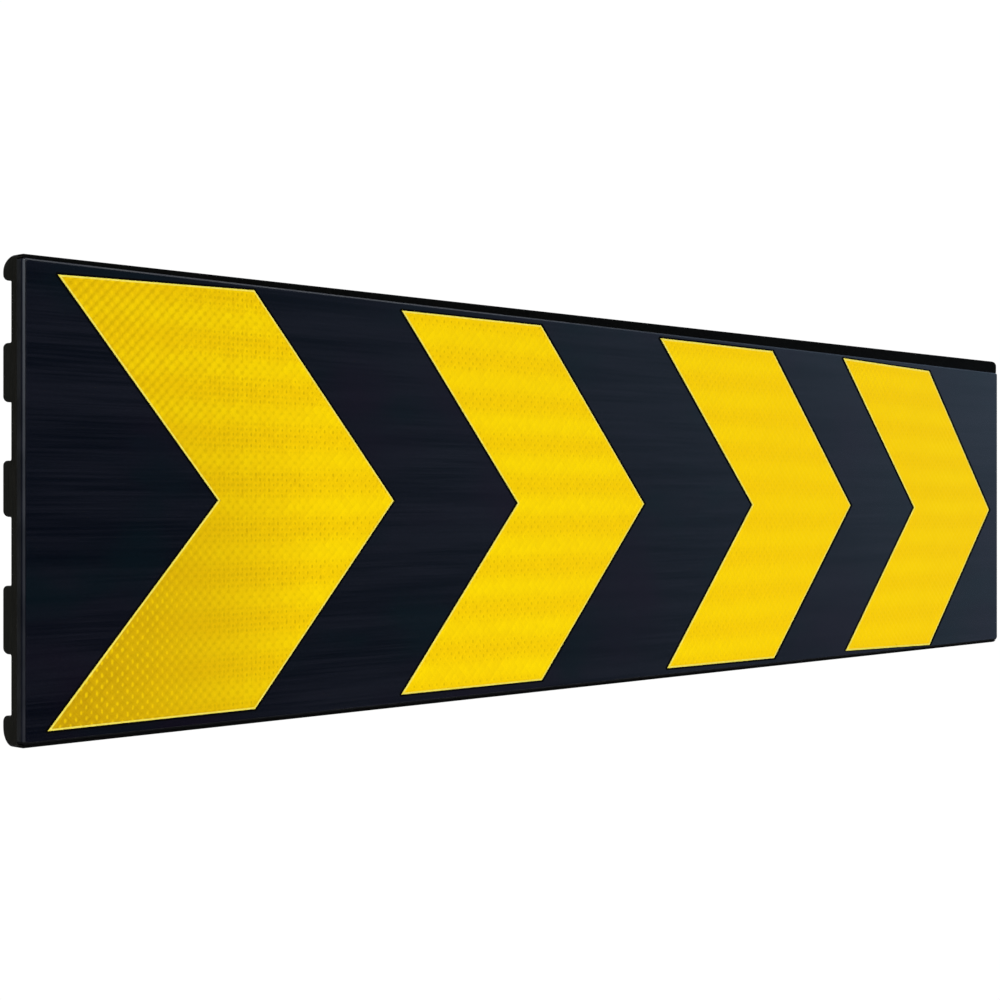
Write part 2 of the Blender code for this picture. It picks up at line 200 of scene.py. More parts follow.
# ---------------------------------------------------------------------------
# Material helpers
# ---------------------------------------------------------------------------
class Skin:
    """A Principled material, with short calls for the nodes that feed it."""

    def __init__(self, name, roughness=0.5, metallic=0.0, specular=0.5):
        self.material = bpy.data.materials.new(name)
        self.material.use_nodes = True
        self.tree = self.material.node_tree
        self.shader = self.tree.nodes["Principled BSDF"]
        self.shader.inputs["Roughness"].default_value = roughness
        self.shader.inputs["Metallic"].default_value = metallic
        self.shader.inputs["Specular IOR Level"].default_value = specular
        coords = self.tree.nodes.new("ShaderNodeTexCoord")
        self.place = coords.outputs["Object"]

    def link(self, a, b):
        self.tree.links.new(a, b)

    def put(self, socket, value):
        if isinstance(value, bpy.types.NodeSocket):
            self.link(value, socket)
        elif isinstance(value, (tuple, list)) and len(value) == 3 and socket.type == "RGBA":
            socket.default_value = (*value, 1)
        else:
            socket.default_value = value

    def scaled(self, scale, turn=(0, 0, 0), shift=(0, 0, 0)):
        node = self.tree.nodes.new("ShaderNodeMapping")
        node.inputs["Scale"].default_value = scale
        node.inputs["Rotation"].default_value = turn
        node.inputs["Location"].default_value = shift
        self.link(self.place, node.inputs["Vector"])
        return node.outputs[0]

    def noise(self, vector, scale, detail=3, roughness=0.5, distortion=0.0):
        node = self.tree.nodes.new("ShaderNodeTexNoise")
        node.inputs["Scale"].default_value = scale
        node.inputs["Detail"].default_value = detail
        node.inputs["Roughness"].default_value = roughness
        node.inputs["Distortion"].default_value = distortion
        self.put(node.inputs["Vector"], vector)
        return node.outputs["Fac"]

    def voronoi(self, vector, scale, feature="F1", output="Distance", randomness=1.0):
        node = self.tree.nodes.new("ShaderNodeTexVoronoi")
        node.feature = feature
        node.inputs["Scale"].default_value = scale
        node.inputs["Randomness"].default_value = randomness
        self.put(node.inputs["Vector"], vector)
        return node.outputs[output]

    def maths(self, operation, a, b=0.0, c=0.0, clamp=False):
        node = self.tree.nodes.new("ShaderNodeMath")
        node.operation = operation
        node.use_clamp = clamp
        self.put(node.inputs[0], a)
        self.put(node.inputs[1], b)
        self.put(node.inputs[2], c)
        return node.outputs[0]

    def axis(self, name):
        node = self.tree.nodes.new("ShaderNodeSeparateXYZ")
        self.link(self.place, node.inputs[0])
        return node.outputs[name]

    def attribute(self, name):
        node = self.tree.nodes.new("ShaderNodeAttribute")
        node.attribute_name = name
        return node.outputs["Fac"]

    def spread(self, value, low, high, out_low=0.0, out_high=1.0, smooth=True):
        node = self.tree.nodes.new("ShaderNodeMapRange")
        node.interpolation_type = "SMOOTHSTEP" if smooth else "LINEAR"
        node.clamp = True
        self.put(node.inputs["Value"], value)
        node.inputs["From Min"].default_value = low
        node.inputs["From Max"].default_value = high
        node.inputs["To Min"].default_value = out_low
        node.inputs["To Max"].default_value = out_high
        return node.outputs["Result"]

    def blend(self, share, a, b, mode="MIX"):
        node = self.tree.nodes.new("ShaderNodeMix")
        node.data_type = "RGBA"
        node.blend_type = mode
        self.put(node.inputs[0], share)
        self.put(node.inputs[6], a)
        self.put(node.inputs[7], b)
        return node.outputs[2]

    def bump(self, height, strength, distance, normal=None):
        node = self.tree.nodes.new("ShaderNodeBump")
        node.inputs["Strength"].default_value = strength
        node.inputs["Distance"].default_value = distance
        self.put(node.inputs["Height"], height)
        if normal is not None:
            self.link(normal, node.inputs["Normal"])
        return node.outputs[0]

    def colour(self, value):
        self.put(self.shader.inputs["Base Color"], value)

    def rough(self, value):
        self.put(self.shader.inputs["Roughness"], value)

    def normal(self, value):
        self.link(value, self.shader.inputs["Normal"])


# ---------------------------------------------------------------------------
# Materials
# ---------------------------------------------------------------------------
def make_yellow():
    """Reflective sheeting: a quilted diamond cell pattern, faint bands along the
    roll, and each cell a little different from the next. The pattern stands out
    most at the board's left end, where each cell has a painted highlight at its
    middle and painted shade darkens the sheeting lower down."""
    s = Skin("yellow_sheeting", 0.36, specular=0.02)
    height = s.axis("Z")
    along = s.axis("X")
    # Bands about 41 mm apart, waved a little along the board.
    drift = s.noise(s.scaled((2.2, 1, 2.2)), 1.0, 1)
    phase = s.maths("MULTIPLY_ADD", height, 2 * math.pi / 0.041, 0.6)
    phase = s.maths("MULTIPLY_ADD", drift, 3.2, phase)
    band = s.maths("MULTIPLY_ADD", s.maths("SINE", phase), 0.5, 0.5)
    tone = s.attribute("tone")
    seam = s.attribute("seam")
    cell_u, cell_v = s.attribute("cell_u"), s.attribute("cell_v")
    rising = s.maths("PINGPONG", s.maths("SUBTRACT", cell_u, cell_v), 0.5)
    falling = s.maths("PINGPONG", s.maths("ADD", cell_u, cell_v), 0.5)
    rising = s.maths("MULTIPLY", rising, 2.0)
    falling = s.maths("MULTIPLY", falling, 2.0)
    inside = s.maths("MULTIPLY", rising, falling)
    # How much the pattern shows: by place along the board.
    near = s.spread(along, -0.80, -0.42, 1.0, 0.42, False)
    far = s.spread(along, -0.30, 0.25, 1.0, 0.30, False)
    show = s.maths("MULTIPLY", near, far)
    upper = s.spread(height, -0.02, 0.07)
    left = s.spread(along, -0.70, -0.55, 1.0, 0.0)
    base = s.blend(band, (0.895, 0.580, 0.0012), (0.940, 0.655, 0.0012))
    base = s.blend(s.spread(along, -0.05, 0.30, 0.0, 0.5), base, (0.920, 0.575, 0.0012))
    # Slow mottling of the colour over a hand's width.
    slow = s.spread(s.noise(s.scaled((1, 1, 1)), 7.0, 2), 0.35, 0.65)
    base = s.blend(s.maths("MULTIPLY", slow, 0.25), base, (0.90, 0.555, 0.002))
    # Painted shade: the sheeting darkened towards the lower left, where less light falls on it.
    side = s.spread(along, -0.79, -0.49, 1.18, 0.0, False)
    level = s.spread(height, -0.06, 0.14, 1.0, 0.30)
    base = s.blend(s.maths("MULTIPLY", side, level), base, (0.520, 0.300, 0.0030))
    # Cells differ by a few per cent.
    base = s.blend(
        s.maths("MULTIPLY", s.maths("MULTIPLY", tone, 0.42), show), base, (0.72, 0.43, 0.0012)
    )
    # Painted highlight: at the far left each cell has a bright middle, the glint each cushion catches there.
    grain = s.noise(s.scaled((1, 1, 1)), 260, 2)
    narrow = s.spread(s.maths("PINGPONG", cell_u, 0.25), 0.03, 0.20, 1.0, 0.25)
    ragged = s.maths("MULTIPLY_ADD", s.maths("SUBTRACT", grain, 0.5), 1.3, s.maths("MULTIPLY", inside, narrow))
    cell_highlight = s.spread(ragged, 0.12, 0.80)
    cell_highlight = s.maths("MULTIPLY", cell_highlight, s.maths("MULTIPLY", left, s.maths("MULTIPLY_ADD", upper, -0.12, 0.62)))
    # Between the cells' middles there are darker patches.
    patch = s.maths("MULTIPLY_ADD", s.maths("SUBTRACT", grain, 0.5), -1.2, s.maths("MAXIMUM", rising, falling))
    patch = s.maths("MULTIPLY", s.spread(patch, 0.15, 0.70, 1.0, 0.0), s.maths("MULTIPLY", near, 0.45))
    patch = s.maths("MULTIPLY", patch, s.spread(along, -0.62, -0.40, 1.0, 0.0))
    base = s.blend(patch, base, (0.50, 0.29, 0.001))
    base = s.blend(cell_highlight, base, (0.93, 0.62, 0.0015))
    # ... and, higher up, rising strokes that run from cell to cell.
    stroke = s.spread(s.maths("MULTIPLY_ADD", s.maths("SUBTRACT", grain, 0.5), 0.5, rising), 0.05, 0.55, 1.0, 0.0)
    stroke = s.maths("MULTIPLY", stroke, s.spread(falling, 0.10, 0.80, 0.25, 1.0))
    stroke = s.maths("MULTIPLY", stroke, s.spread(grain, 0.30, 0.62, 0.35, 1.0))
    stroke = s.maths("MULTIPLY", stroke, s.maths("MULTIPLY", s.maths("MULTIPLY", left, upper), 0.50))
    base = s.blend(stroke, base, (0.60, 0.37, 0.001))
    # Further on there is a dark fleck in each cell, where the bands are darker.
    calm = s.spread(band, 0.35, 0.90, 1.0, 0.0)
    mark = s.spread(ragged, 0.36, 0.80)
    mark = s.maths("MULTIPLY", mark, s.maths("MULTIPLY_ADD", left, -1.0, 1.0))
    fleck = s.maths("MULTIPLY", mark, s.maths("MULTIPLY", calm, show))
    base = s.blend(fleck, base, (0.50, 0.30, 0.001))
    # The seams between cells.
    line = s.maths("MULTIPLY", s.spread(seam, 0.0, 0.9, 0.40, 0.0), show)
    line = s.maths("MULTIPLY", line, s.spread(grain, 0.35, 0.62, 0.15, 1.0))
    base = s.blend(line, base, (0.66, 0.41, 0.001))
    s.colour(base)
    s.rough(s.maths("MULTIPLY_ADD", tone, 0.10, 0.31))
    # The prisms behind the face: a fine grain in the surface.
    prisms = s.voronoi(s.scaled((1, 1, 1)), 1400, "F1")
    s.normal(s.bump(prisms, 0.12, 0.00006))
    s.material.diffuse_color = (0.92, 0.62, 0.002, 1)
    return s.material


def make_pale_edge():
    """The sheeting's cut and sealed rim."""
    s = Skin("sheeting_rim", 0.42, specular=0.3)
    specks = s.noise(s.scaled((1, 1, 1)), 260, 3)
    s.colour(
        s.blend(s.spread(specks, 0.3, 0.7), (0.80, 0.655, 0.060), (0.89, 0.75, 0.115))
    )
    s.normal(s.bump(specks, 0.2, 0.00005))
    return s.material


def make_black_film():
    """Blue-black face film with fine streaks along its length."""
    s = Skin("black_face_film", 0.30, specular=0.5)
    streak = s.noise(s.scaled((1.8, 1, 46)), 1.0, 6, 0.62)
    fine = s.noise(s.scaled((5, 1, 420)), 1.0, 3, 0.6)
    cloud = s.noise(s.scaled((1, 1, 2)), 5.5, 3)
    share = s.maths("ADD", s.maths("MULTIPLY", streak, 0.6), s.maths("MULTIPLY", fine, 0.4))
    base = s.blend(
        s.spread(share, 0.38, 0.62), (0.0002, 0.0006, 0.0030), (0.0048, 0.0050, 0.0094)
    )
    # It leans to violet in places and to teal in others.
    base = s.blend(
        s.spread(cloud, 0.50, 0.68, 0.0, 0.75), base, (0.0002, 0.0038, 0.0060)
    )
    violet = s.noise(s.scaled((1, 1, 1.6), (0, 0, 0), (3, 0, 7)), 3.4, 3)
    base = s.blend(
        s.spread(violet, 0.48, 0.66, 0.0, 0.80), base, (0.0046, 0.0016, 0.0068)
    )
    s.colour(base)
    s.rough(s.spread(share, 0.3, 0.7, 0.17, 0.24, False))
    s.normal(s.bump(share, 0.10, 0.00012))
    s.material.diffuse_color = (0.008, 0.0125, 0.021, 1)
    return s.material


def make_board():
    """Satin black plastic: fine leather-like texture and faint sawn marks, and
    painted shade making it darker and bluer over its front few millimetres."""
    s = Skin("board_plastic", 0.36, specular=0.5)
    mottled = s.noise(s.scaled((1, 1, 1)), 38, 4)
    sawn = s.noise(s.scaled((40, 900, 60)), 1.0, 3)
    grain = s.noise(s.scaled((1, 1, 1)), 1500, 3)
    core = s.blend(s.spread(mottled, 0.3, 0.7), (0.0105, 0.0105, 0.0110), (0.0165, 0.0168, 0.0180))
    core = s.blend(s.spread(sawn, 0.45, 0.7, 0.0, 0.4), core, (0.0220, 0.0220, 0.0230))
    skin = s.blend(s.spread(mottled, 0.3, 0.7), (0.0035, 0.0040, 0.0078), (0.0060, 0.0066, 0.0120))
    # Painted shade: the front few millimetres, up to the chamfer, darker and bluer than the core.
    body = s.blend(s.spread(s.axis("Y"), -0.0267, -0.0261), skin, core)
    # Painted shade: the downward-facing lower edge darkened, with its specular turned down so it shows no
    # highlight.
    low = s.spread(s.axis("Z"), -0.1952, -0.1938, 1.0, 0.0)
    s.colour(s.blend(low, body, (0.0022, 0.0024, 0.0030)))
    s.rough(s.maths("MULTIPLY_ADD", low, 0.35, s.spread(mottled, 0.3, 0.7, 0.30, 0.42, False)))
    s.link(s.maths("MULTIPLY_ADD", low, -0.44, 0.5), s.shader.inputs["Specular IOR Level"])
    s.normal(s.bump(grain, 0.18, 0.00012))
    return s.material


def make_rubber():
    """Matt black rubber: pressed crumb with a few paler grains, fine draw lines
    along the ribs, and bloom that greys it a little."""
    s = Skin("black_rubber", 0.78, specular=0.14)
    crumb = s.voronoi(s.scaled((1, 1, 1)), 520, "F1", "Color")
    split = s.tree.nodes.new("ShaderNodeSeparateColor")
    s.link(crumb, split.inputs[0])
    chance = split.outputs[0]
    edges = s.voronoi(s.scaled((1, 1, 1)), 520, "DISTANCE_TO_EDGE")
    bloom = s.noise(s.scaled((1.2, 1, 3.5)), 4.0, 4)
    draw = s.noise(s.scaled((2.5, 900, 900)), 1.0, 3, 0.6)
    fine = s.noise(s.scaled((1, 1, 1)), 2600, 2)
    base = s.blend(chance, (0.0052, 0.0050, 0.0043), (0.0105, 0.0100, 0.0088))
    base = s.blend(s.spread(chance, 0.975, 0.985), base, (0.040, 0.037, 0.030))
    base = s.blend(s.spread(bloom, 0.45, 0.75, 0.0, 0.55), base, (0.0150, 0.0150, 0.0140))
    # The lips round the board are a deeper black than the back, with less specular.
    lips = s.blend(chance, (0.0010, 0.0011, 0.0010), (0.0026, 0.0027, 0.0025))
    lips = s.blend(s.spread(bloom, 0.45, 0.75, 0.0, 0.4), lips, (0.0038, 0.0040, 0.0042))
    base = s.blend(s.spread(s.axis("Y"), -0.0245, -0.0195), lips, base)
    s.colour(base)
    s.rough(s.spread(bloom, 0.3, 0.7, 0.68, 0.82, False))
    s.link(
        s.spread(s.axis("Y"), -0.0245, -0.0195, 0.02, 0.16),
        s.shader.inputs["Specular IOR Level"],
    )
    first = s.bump(s.spread(edges, 0.0, 0.12), 0.35, 0.00010)
    second = s.bump(draw, 0.30, 0.00012, first)
    s.normal(s.bump(fine, 0.25, 0.00005, second))
    return s.material


def make_cut_rubber():
    """The rubber's sawn ends: warmer, with upright saw marks."""
    s = Skin("cut_rubber", 0.82, specular=0.12)
    marks = s.noise(s.scaled((1, 1400, 40)), 1.0, 4, 0.65)
    pits = s.voronoi(s.scaled((1, 1, 1)), 620, "F1")
    base = s.blend(s.spread(marks, 0.35, 0.65), (0.0048, 0.0046, 0.0030), (0.0100, 0.0094, 0.0068))
    s.colour(base)
    first = s.bump(marks, 0.5, 0.00022)
    s.normal(s.bump(pits, 0.4, 0.00012, first))
    return s.material


def make_steel(name, colour, roughness, tint):
    """Bright metal with fine scratches, and in patches a cloudier finish and a
    tint."""
    s = Skin(name, roughness, metallic=1.0)
    scratch = s.noise(s.scaled((1, 1, 1), (0.3, 0.2, 0.9)), 2400, 3, 0.6)
    lines = s.noise(s.scaled((300, 300, 5200), (0.0, 0.5, 0.0)), 1.0, 2)
    cloud = s.noise(s.scaled((1, 1, 1)), 150, 3)
    base = s.blend(s.spread(cloud, 0.35, 0.7), colour, tint)
    s.colour(base)
    s.rough(s.spread(cloud, 0.3, 0.7, roughness - 0.06, roughness + 0.10, False))
    first = s.bump(lines, 0.12, 0.00004)
    s.normal(s.bump(scratch, 0.15, 0.00004, first))
    return s.material


def make_edge_shade_line():
    """Painted shade: the dark line along each arrow's edge, matt and a little uneven."""
    s = Skin("painted_edge_shade", 0.8, specular=0.04)
    wave = s.noise(s.scaled((1, 1, 1)), 90, 4)
    s.colour(s.blend(s.spread(wave, 0.3, 0.7), (0.0004, 0.0004, 0.0004), (0.0016, 0.0013, 0.0012)))
    s.rough(s.spread(wave, 0.3, 0.7, 0.7, 0.9, False))
    s.normal(s.bump(wave, 0.3, 0.0001))
    return s.material


EDGE_SHADE_LINE = make_edge_shade_line()
YELLOW = make_yellow()
PALE_EDGE = make_pale_edge()
BLACK_FILM = make_black_film()
BOARD = make_board()
RUBBER = make_rubber()
CUT_RUBBER = make_cut_rubber()
SCREW_STEEL = make_steel("screw_steel", (0.60, 0.59, 0.57), 0.28, (0.50, 0.49, 0.47))
WASHER_STEEL = make_steel("washer_steel", (0.64, 0.63, 0.62), 0.34, (0.55, 0.54, 0.53))
ZINC = make_steel("insert_zinc", (0.66, 0.63, 0.53), 0.33, (0.58, 0.50, 0.34))


# ---------------------------------------------------------------------------
# Mesh helpers
# ---------------------------------------------------------------------------
def new_object(name, mesh, replaced):
    obj = bpy.data.objects.new(name, mesh)
    SCENE.collection.objects.link(obj)
    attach(obj, BODY)
    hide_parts(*replaced)
    return obj


def mesh_from(form, name, materials, sharp=35):
    mesh = bpy.data.meshes.new(name)
    bmesh.ops.recalc_face_normals(form, faces=form.faces)
    form.to_mesh(mesh)
    form.free()
    for skin in materials:
        mesh.materials.append(skin)
    mesh.shade_smooth()
    mesh.set_sharp_from_angle(angle=math.radians(sharp))
    return mesh


def arc_outline(corners, steps):
    """Points of a closed outline of square corners (u, v, ru, rv)."""
    points = []
    count = len(corners)
    for i, (u, v, ru, rv) in enumerate(corners):
        if ru <= 0 or rv <= 0:
            points.append((u, v))
            continue
        before, after = corners[i - 1], corners[(i + 1) % count]
        along_u = abs(before[1] - v) < 1e-7
        back = (
            (math.copysign(1, before[0] - u), 0)
            if along_u
            else (0, math.copysign(1, before[1] - v))
        )
        on = (
            (0, math.copysign(1, after[1] - v))
            if along_u
            else (math.copysign(1, after[0] - u), 0)
        )
        cu, cv = u + (back[0] + on[0]) * ru, v + (back[1] + on[1]) * rv
        for step in range(steps + 1):
            t = math.pi / 2 * step / steps
            points.append(
                (
                    cu - (on[0] * math.cos(t) + back[0] * math.sin(t)) * ru,
                    cv - (on[1] * math.cos(t) + back[1] * math.sin(t)) * rv,
                )
            )
    return points


def stacked(rings, closed_ends=True):
    """A bmesh from rings of points, each ring joined to the next."""
    form = bmesh.new()
    loops = [[form.verts.new(p) for p in ring] for ring in rings]
    for low, high in zip(loops, loops[1:]):
        count = len(low)
        for i in range(count):
            j = (i + 1) % count
            form.faces.new((low[i], low[j], high[j], high[i]))
    if closed_ends:
        form.faces.new(loops[0][::-1])
        form.faces.new(loops[-1])
    return form


def inset_points(points, by):
    """A closed outline moved inwards by a distance, corner by corner."""
    count = len(points)
    area = sum(
        points[i][0] * points[(i + 1) % count][1] - points[(i + 1) % count][0] * points[i][1]
        for i in range(count)
    )
    hand = 1 if area > 0 else -1
    moved = []
    for i in range(count):
        a, b, c = (Vector(points[(i + k) % count]) for k in (-1, 0, 1))
        d0, d1 = (b - a).normalized(), (c - b).normalized()
        n0 = Vector((-d0.y, d0.x)) * hand
        n1 = Vector((-d1.y, d1.x)) * hand
        way = n0 + n1
        if way.length < 1e-6:
            way = n0
        way.normalize()
        moved.append(tuple(b + way * (by / max(0.2, way.dot(n0)))))
    return moved


def lathe(name, profile, steps, materials, sharp=35):
    """A turned solid about +Y from a profile of (r, y) points. One that starts
    and ends on the axis closes there; any other closes on itself."""
    form = bmesh.new()
    on_axis = profile[0][0] < 1e-9
    rings = []
    for r, y in profile:
        if r < 1e-9:
            rings.append([form.verts.new((0, y, 0))])
        else:
            rings.append(
                [
                    form.verts.new(
                        (
                            r * math.cos(2 * math.pi * k / steps),
                            y,
                            r * math.sin(2 * math.pi * k / steps),
                        )
                    )
                    for k in range(steps)
                ]
            )
    pairs = list(zip(rings, rings[1:]))
    if not on_axis:
        pairs.append((rings[-1], rings[0]))
    for a, b in pairs:
        for k in range(steps):
            m = (k + 1) % steps
            if len(a) == 1:
                form.faces.new((a[0], b[k], b[m]))
            elif len(b) == 1:
                form.faces.new((a[k], b[0], a[m]))
            else:
                form.faces.new((a[k], b[k], b[m], a[m]))
    return mesh_from(form, name, materials, sharp)


def centre_of(node):
    low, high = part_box(node)
    return (low + high) / 2


# ---------------------------------------------------------------------------
# Yellow arrows
# ---------------------------------------------------------------------------
CELL_WIDE, CELL_HIGH = 10.3 * MM, 10.0 * MM
RIMS = (1.5 * MM, 1.6 * MM, 1.9 * MM, 2.1 * MM)  # one width for each arrow


# Each arrow's corners, in mm from the left end and from half-way up.
ARROWS = (
    ((22.1, -187.5), (238.5, -186.7), (410.4, 0.6), (237.6, 189.5), (31.7, 185.4), (197.1, 0.6)),
    ((421.0, -187.4), (624.4, -187.5), (795.0, -2.6), (623.3, 184.5), (421.4, 185.1), (587.6, -1.8)),
    ((837.6, -188.7), (1046.2, -189.7), (1215.2, -4.8), (1042.8, 182.3), (824.6, 184.0), (1001.9, -3.9)),
    ((1205.2, -190.0), (1410.4, -193.9), (1573.5, -11.4), (1409.1, 177.0), (1199.2, 182.5), (1371.3, -7.7)),
)


def arrow_corners(index):
    return [((u - 800) * MM, v * MM) for u, v in ARROWS[index - 1]]


def arrow_mesh(name, index, node, seed):
    """The arrow's film: a rim, and inside it diamond cells, each a low cushion
    with pressed seams between."""
    low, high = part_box(node)
    front, rear = low.y, high.y + 0.25 * MM
    outer = arrow_corners(index)
    inner = inset_points(outer, RIMS[index - 1])
    rng = random.Random(seed)
    form = bmesh.new()
    form.faces.new([form.verts.new((u, v, 0)) for u, v in inner])
    start_u = low.x + rng.uniform(0, CELL_WIDE)
    start_v = low.z + rng.uniform(0, CELL_HIGH)
    reach_u, reach_v = high.x - low.x, high.z - low.z
    spans = int(reach_u / CELL_WIDE + reach_v / CELL_HIGH) + 3
    for slope in (1, -1):
        normal = Vector((1 / CELL_WIDE, slope / CELL_HIGH, 0))
        size = normal.length
        for k in range(-spans, spans + 1):
            # The line (u - u0) / wide + slope * (v - v0) / high = k
            point = Vector((start_u + k * CELL_WIDE, start_v, 0))
            offset = normal / size
            distances = [
                (Vector((u, v, 0)) - point).dot(offset) for u, v in inner
            ]
            if min(distances) > -1e-5 or max(distances) < 1e-5:
                continue
            bmesh.ops.bisect_plane(
                form,
                geom=form.verts[:] + form.edges[:] + form.faces[:],
                dist=1e-7,
                plane_co=point,
                plane_no=offset,
            )
    full = CELL_WIDE * CELL_HIGH / 2
    seam = form.verts.layers.float.new("seam")
    dot = form.verts.layers.float.new("dot")
    tone = form.faces.layers.float.new("tone")
    cells = list(form.faces)
    for face in cells:
        face[tone] = rng.random()
    whole = [f for f in cells if f.calc_area() > 0.30 * full]
    bmesh.ops.inset_individual(
        form, faces=whole, thickness=0.45 * MM, depth=0.0, use_even_offset=True
    )
    for face in whole:
        for vert in face.verts:
            vert[seam] = 1.0
            vert.co.z = 0.09 * MM
    big = [f for f in whole if f.calc_area() > 0.30 * full]
    made = bmesh.ops.poke(form, faces=big, offset=0.0)
    for vert in made["verts"]:
        vert[seam] = 1.0
        vert[dot] = 1.0
        vert.co.z = 0.16 * MM
    # The rim: each border point moves out to its place on the outer outline.
    count = len(inner)

    def outer_place(co):
        best = None
        for i in range(count):
            a, b = Vector(inner[i]), Vector(inner[(i + 1) % count])
            along = (b - a).length
            t = (Vector((co.x, co.y)) - a).dot((b - a)) / (along * along)
            t = min(1, max(0, t))
            gap = (a.lerp(b, t) - Vector((co.x, co.y))).length
            if best is None or gap < best[0]:
                best = (gap, i, t)
        _, i, t = best
        return Vector(outer[i]).lerp(Vector(outer[(i + 1) % count]), t)

    border = [e for e in form.edges if len(e.link_faces) == 1]
    made = bmesh.ops.extrude_edge_only(form, edges=border)
    out_verts = [g for g in made["geom"] if isinstance(g, bmesh.types.BMVert)]
    rim_faces = [g for g in made["geom"] if isinstance(g, bmesh.types.BMFace)]
    for vert in out_verts:
        place = outer_place(vert.co)
        vert.co = (place.x, place.y, -0.05 * MM)
        vert[seam] = 0
    border = [e for e in form.edges if len(e.link_faces) == 1]
    made = bmesh.ops.extrude_edge_only(form, edges=border)
    depth = rear - front
    back_verts = [g for g in made["geom"] if isinstance(g, bmesh.types.BMVert)]
    rim_faces += [g for g in made["geom"] if isinstance(g, bmesh.types.BMFace)]
    for vert in back_verts:
        vert.co.z = 0.16 * MM - depth
    loop = [e for e in form.edges if len(e.link_faces) == 1]
    filled = bmesh.ops.contextual_create(form, geom=loop)
    rim_faces += filled["faces"]
    for face in rim_faces:
        face.material_index = 1
        face[tone] = 0.5
    cell_u = form.verts.layers.float.new("cell_u")
    cell_v = form.verts.layers.float.new("cell_v")
    for vert in form.verts:
        vert[cell_u] = (vert.co.x - start_u) / CELL_WIDE
        vert[cell_v] = (vert.co.y - start_v) / CELL_HIGH
    # From the drawing's plane to the board's: u to x, v to z, height to -y.
    for vert in form.verts:
        u, v, h = vert.co
        vert.co = (u, front + 0.165 * MM - h, v)
    mesh = bpy.data.meshes.new(name)
    bmesh.ops.recalc_face_normals(form, faces=form.faces)
    form.to_mesh(mesh)
    form.free()
    mesh.materials.append(YELLOW)
    mesh.materials.append(PALE_EDGE)
    mesh.shade_smooth()
    mesh.set_sharp_from_angle(angle=math.radians(40))
    return mesh


for index in range(1, 5):
    node = f"chevron_{index}"
    new_object(
        f"yellow_arrow_{index}",
        arrow_mesh(f"yellow_arrow_{index}", index, node, 100 + index),
        [node],
    )


# ---------------------------------------------------------------------------
# Black film and front board
# ---------------------------------------------------------------------------
def lip_edge(x):
    """Height of the rubber top lip's lower edge, which falls to the right."""
    return 0.2 - (3.0 + 12.8 * (x + 0.8) / 1.6) * MM


def filleted(corners, radii, steps):
    """Points of a closed convex outline, anticlockwise, with rounded corners."""
    points = []
    count = len(corners)
    for i, radius in enumerate(radii):
        here = Vector(corners[i])
        back = (Vector(corners[i - 1]) - here).normalized()
        ahead = (Vector(corners[(i + 1) % count]) - here).normalized()
        opening = back.angle(ahead)
        start = here + back * (radius / math.tan(opening / 2))
        end = here + ahead * (radius / math.tan(opening / 2))
        centre = here + (back + ahead).normalized() * (radius / math.sin(opening / 2))
        sweep = math.pi - opening
        for step in range(steps + 1):
            share = step / steps
            first, last = (start - centre) / radius, (end - centre) / radius
            away = (
                first * math.sin((1 - share) * sweep) + last * math.sin(share * sweep)
            ) / math.sin(sweep)
            points.append(tuple(centre + away * radius))
    return points


def board_outline(low, high, inset, radii, steps=8):
    left, right = low.x + inset, high.x - inset
    fall = lip_edge(low.x) - high.z
    return filleted(
        [
            (left, low.z + inset),
            (right, low.z + inset),
            (right, lip_edge(right) - fall - inset),
            (left, lip_edge(left) - fall - inset),
        ],
        [max(radius - inset, 0.3 * MM) for radius in radii],
        steps,
    )


def plate_rings(low, high, radii, stops):
    """Rings of the sloped plate's outline, one for each (y, inset)."""
    return [
        [(u, y, v) for u, v in board_outline(low, high, inset, radii)]
        for y, inset in stops
    ]


low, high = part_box("front_board")
cham, soft = 1.5 * MM, 0.22 * MM
# Round the front a flat chamfer with slightly softened edges.
stops = [
    (low.y, cham + soft),
    (low.y + 0.07 * soft, cham + 0.45 * soft),
    (low.y + 0.30 * soft, cham - 0.05 * soft),
    (low.y + 0.70 * soft, cham - 0.60 * soft),
    (low.y + cham - 0.60 * soft, 0.70 * soft),
    (low.y + cham - 0.05 * soft, 0.30 * soft),
    (low.y + cham + 0.45 * soft, 0.07 * soft),
    (low.y + cham + soft, 0.0),
    (high.y - 0.6 * MM, 0.0),
    (high.y - 0.3 * MM, 0.08 * MM),
    (high.y - 0.08 * MM, 0.3 * MM),
    (high.y, 0.6 * MM),
]
board = new_object(
    "face_board",
    mesh_from(
        stacked(plate_rings(low, high, (2 * MM, 4 * MM, 1 * MM, 2 * MM), stops)),
        "face_board",
        [BOARD],
        50,
    ),
    ["front_board"],
)
board.modifiers.new("normals", "WEIGHTED_NORMAL").keep_sharp = True

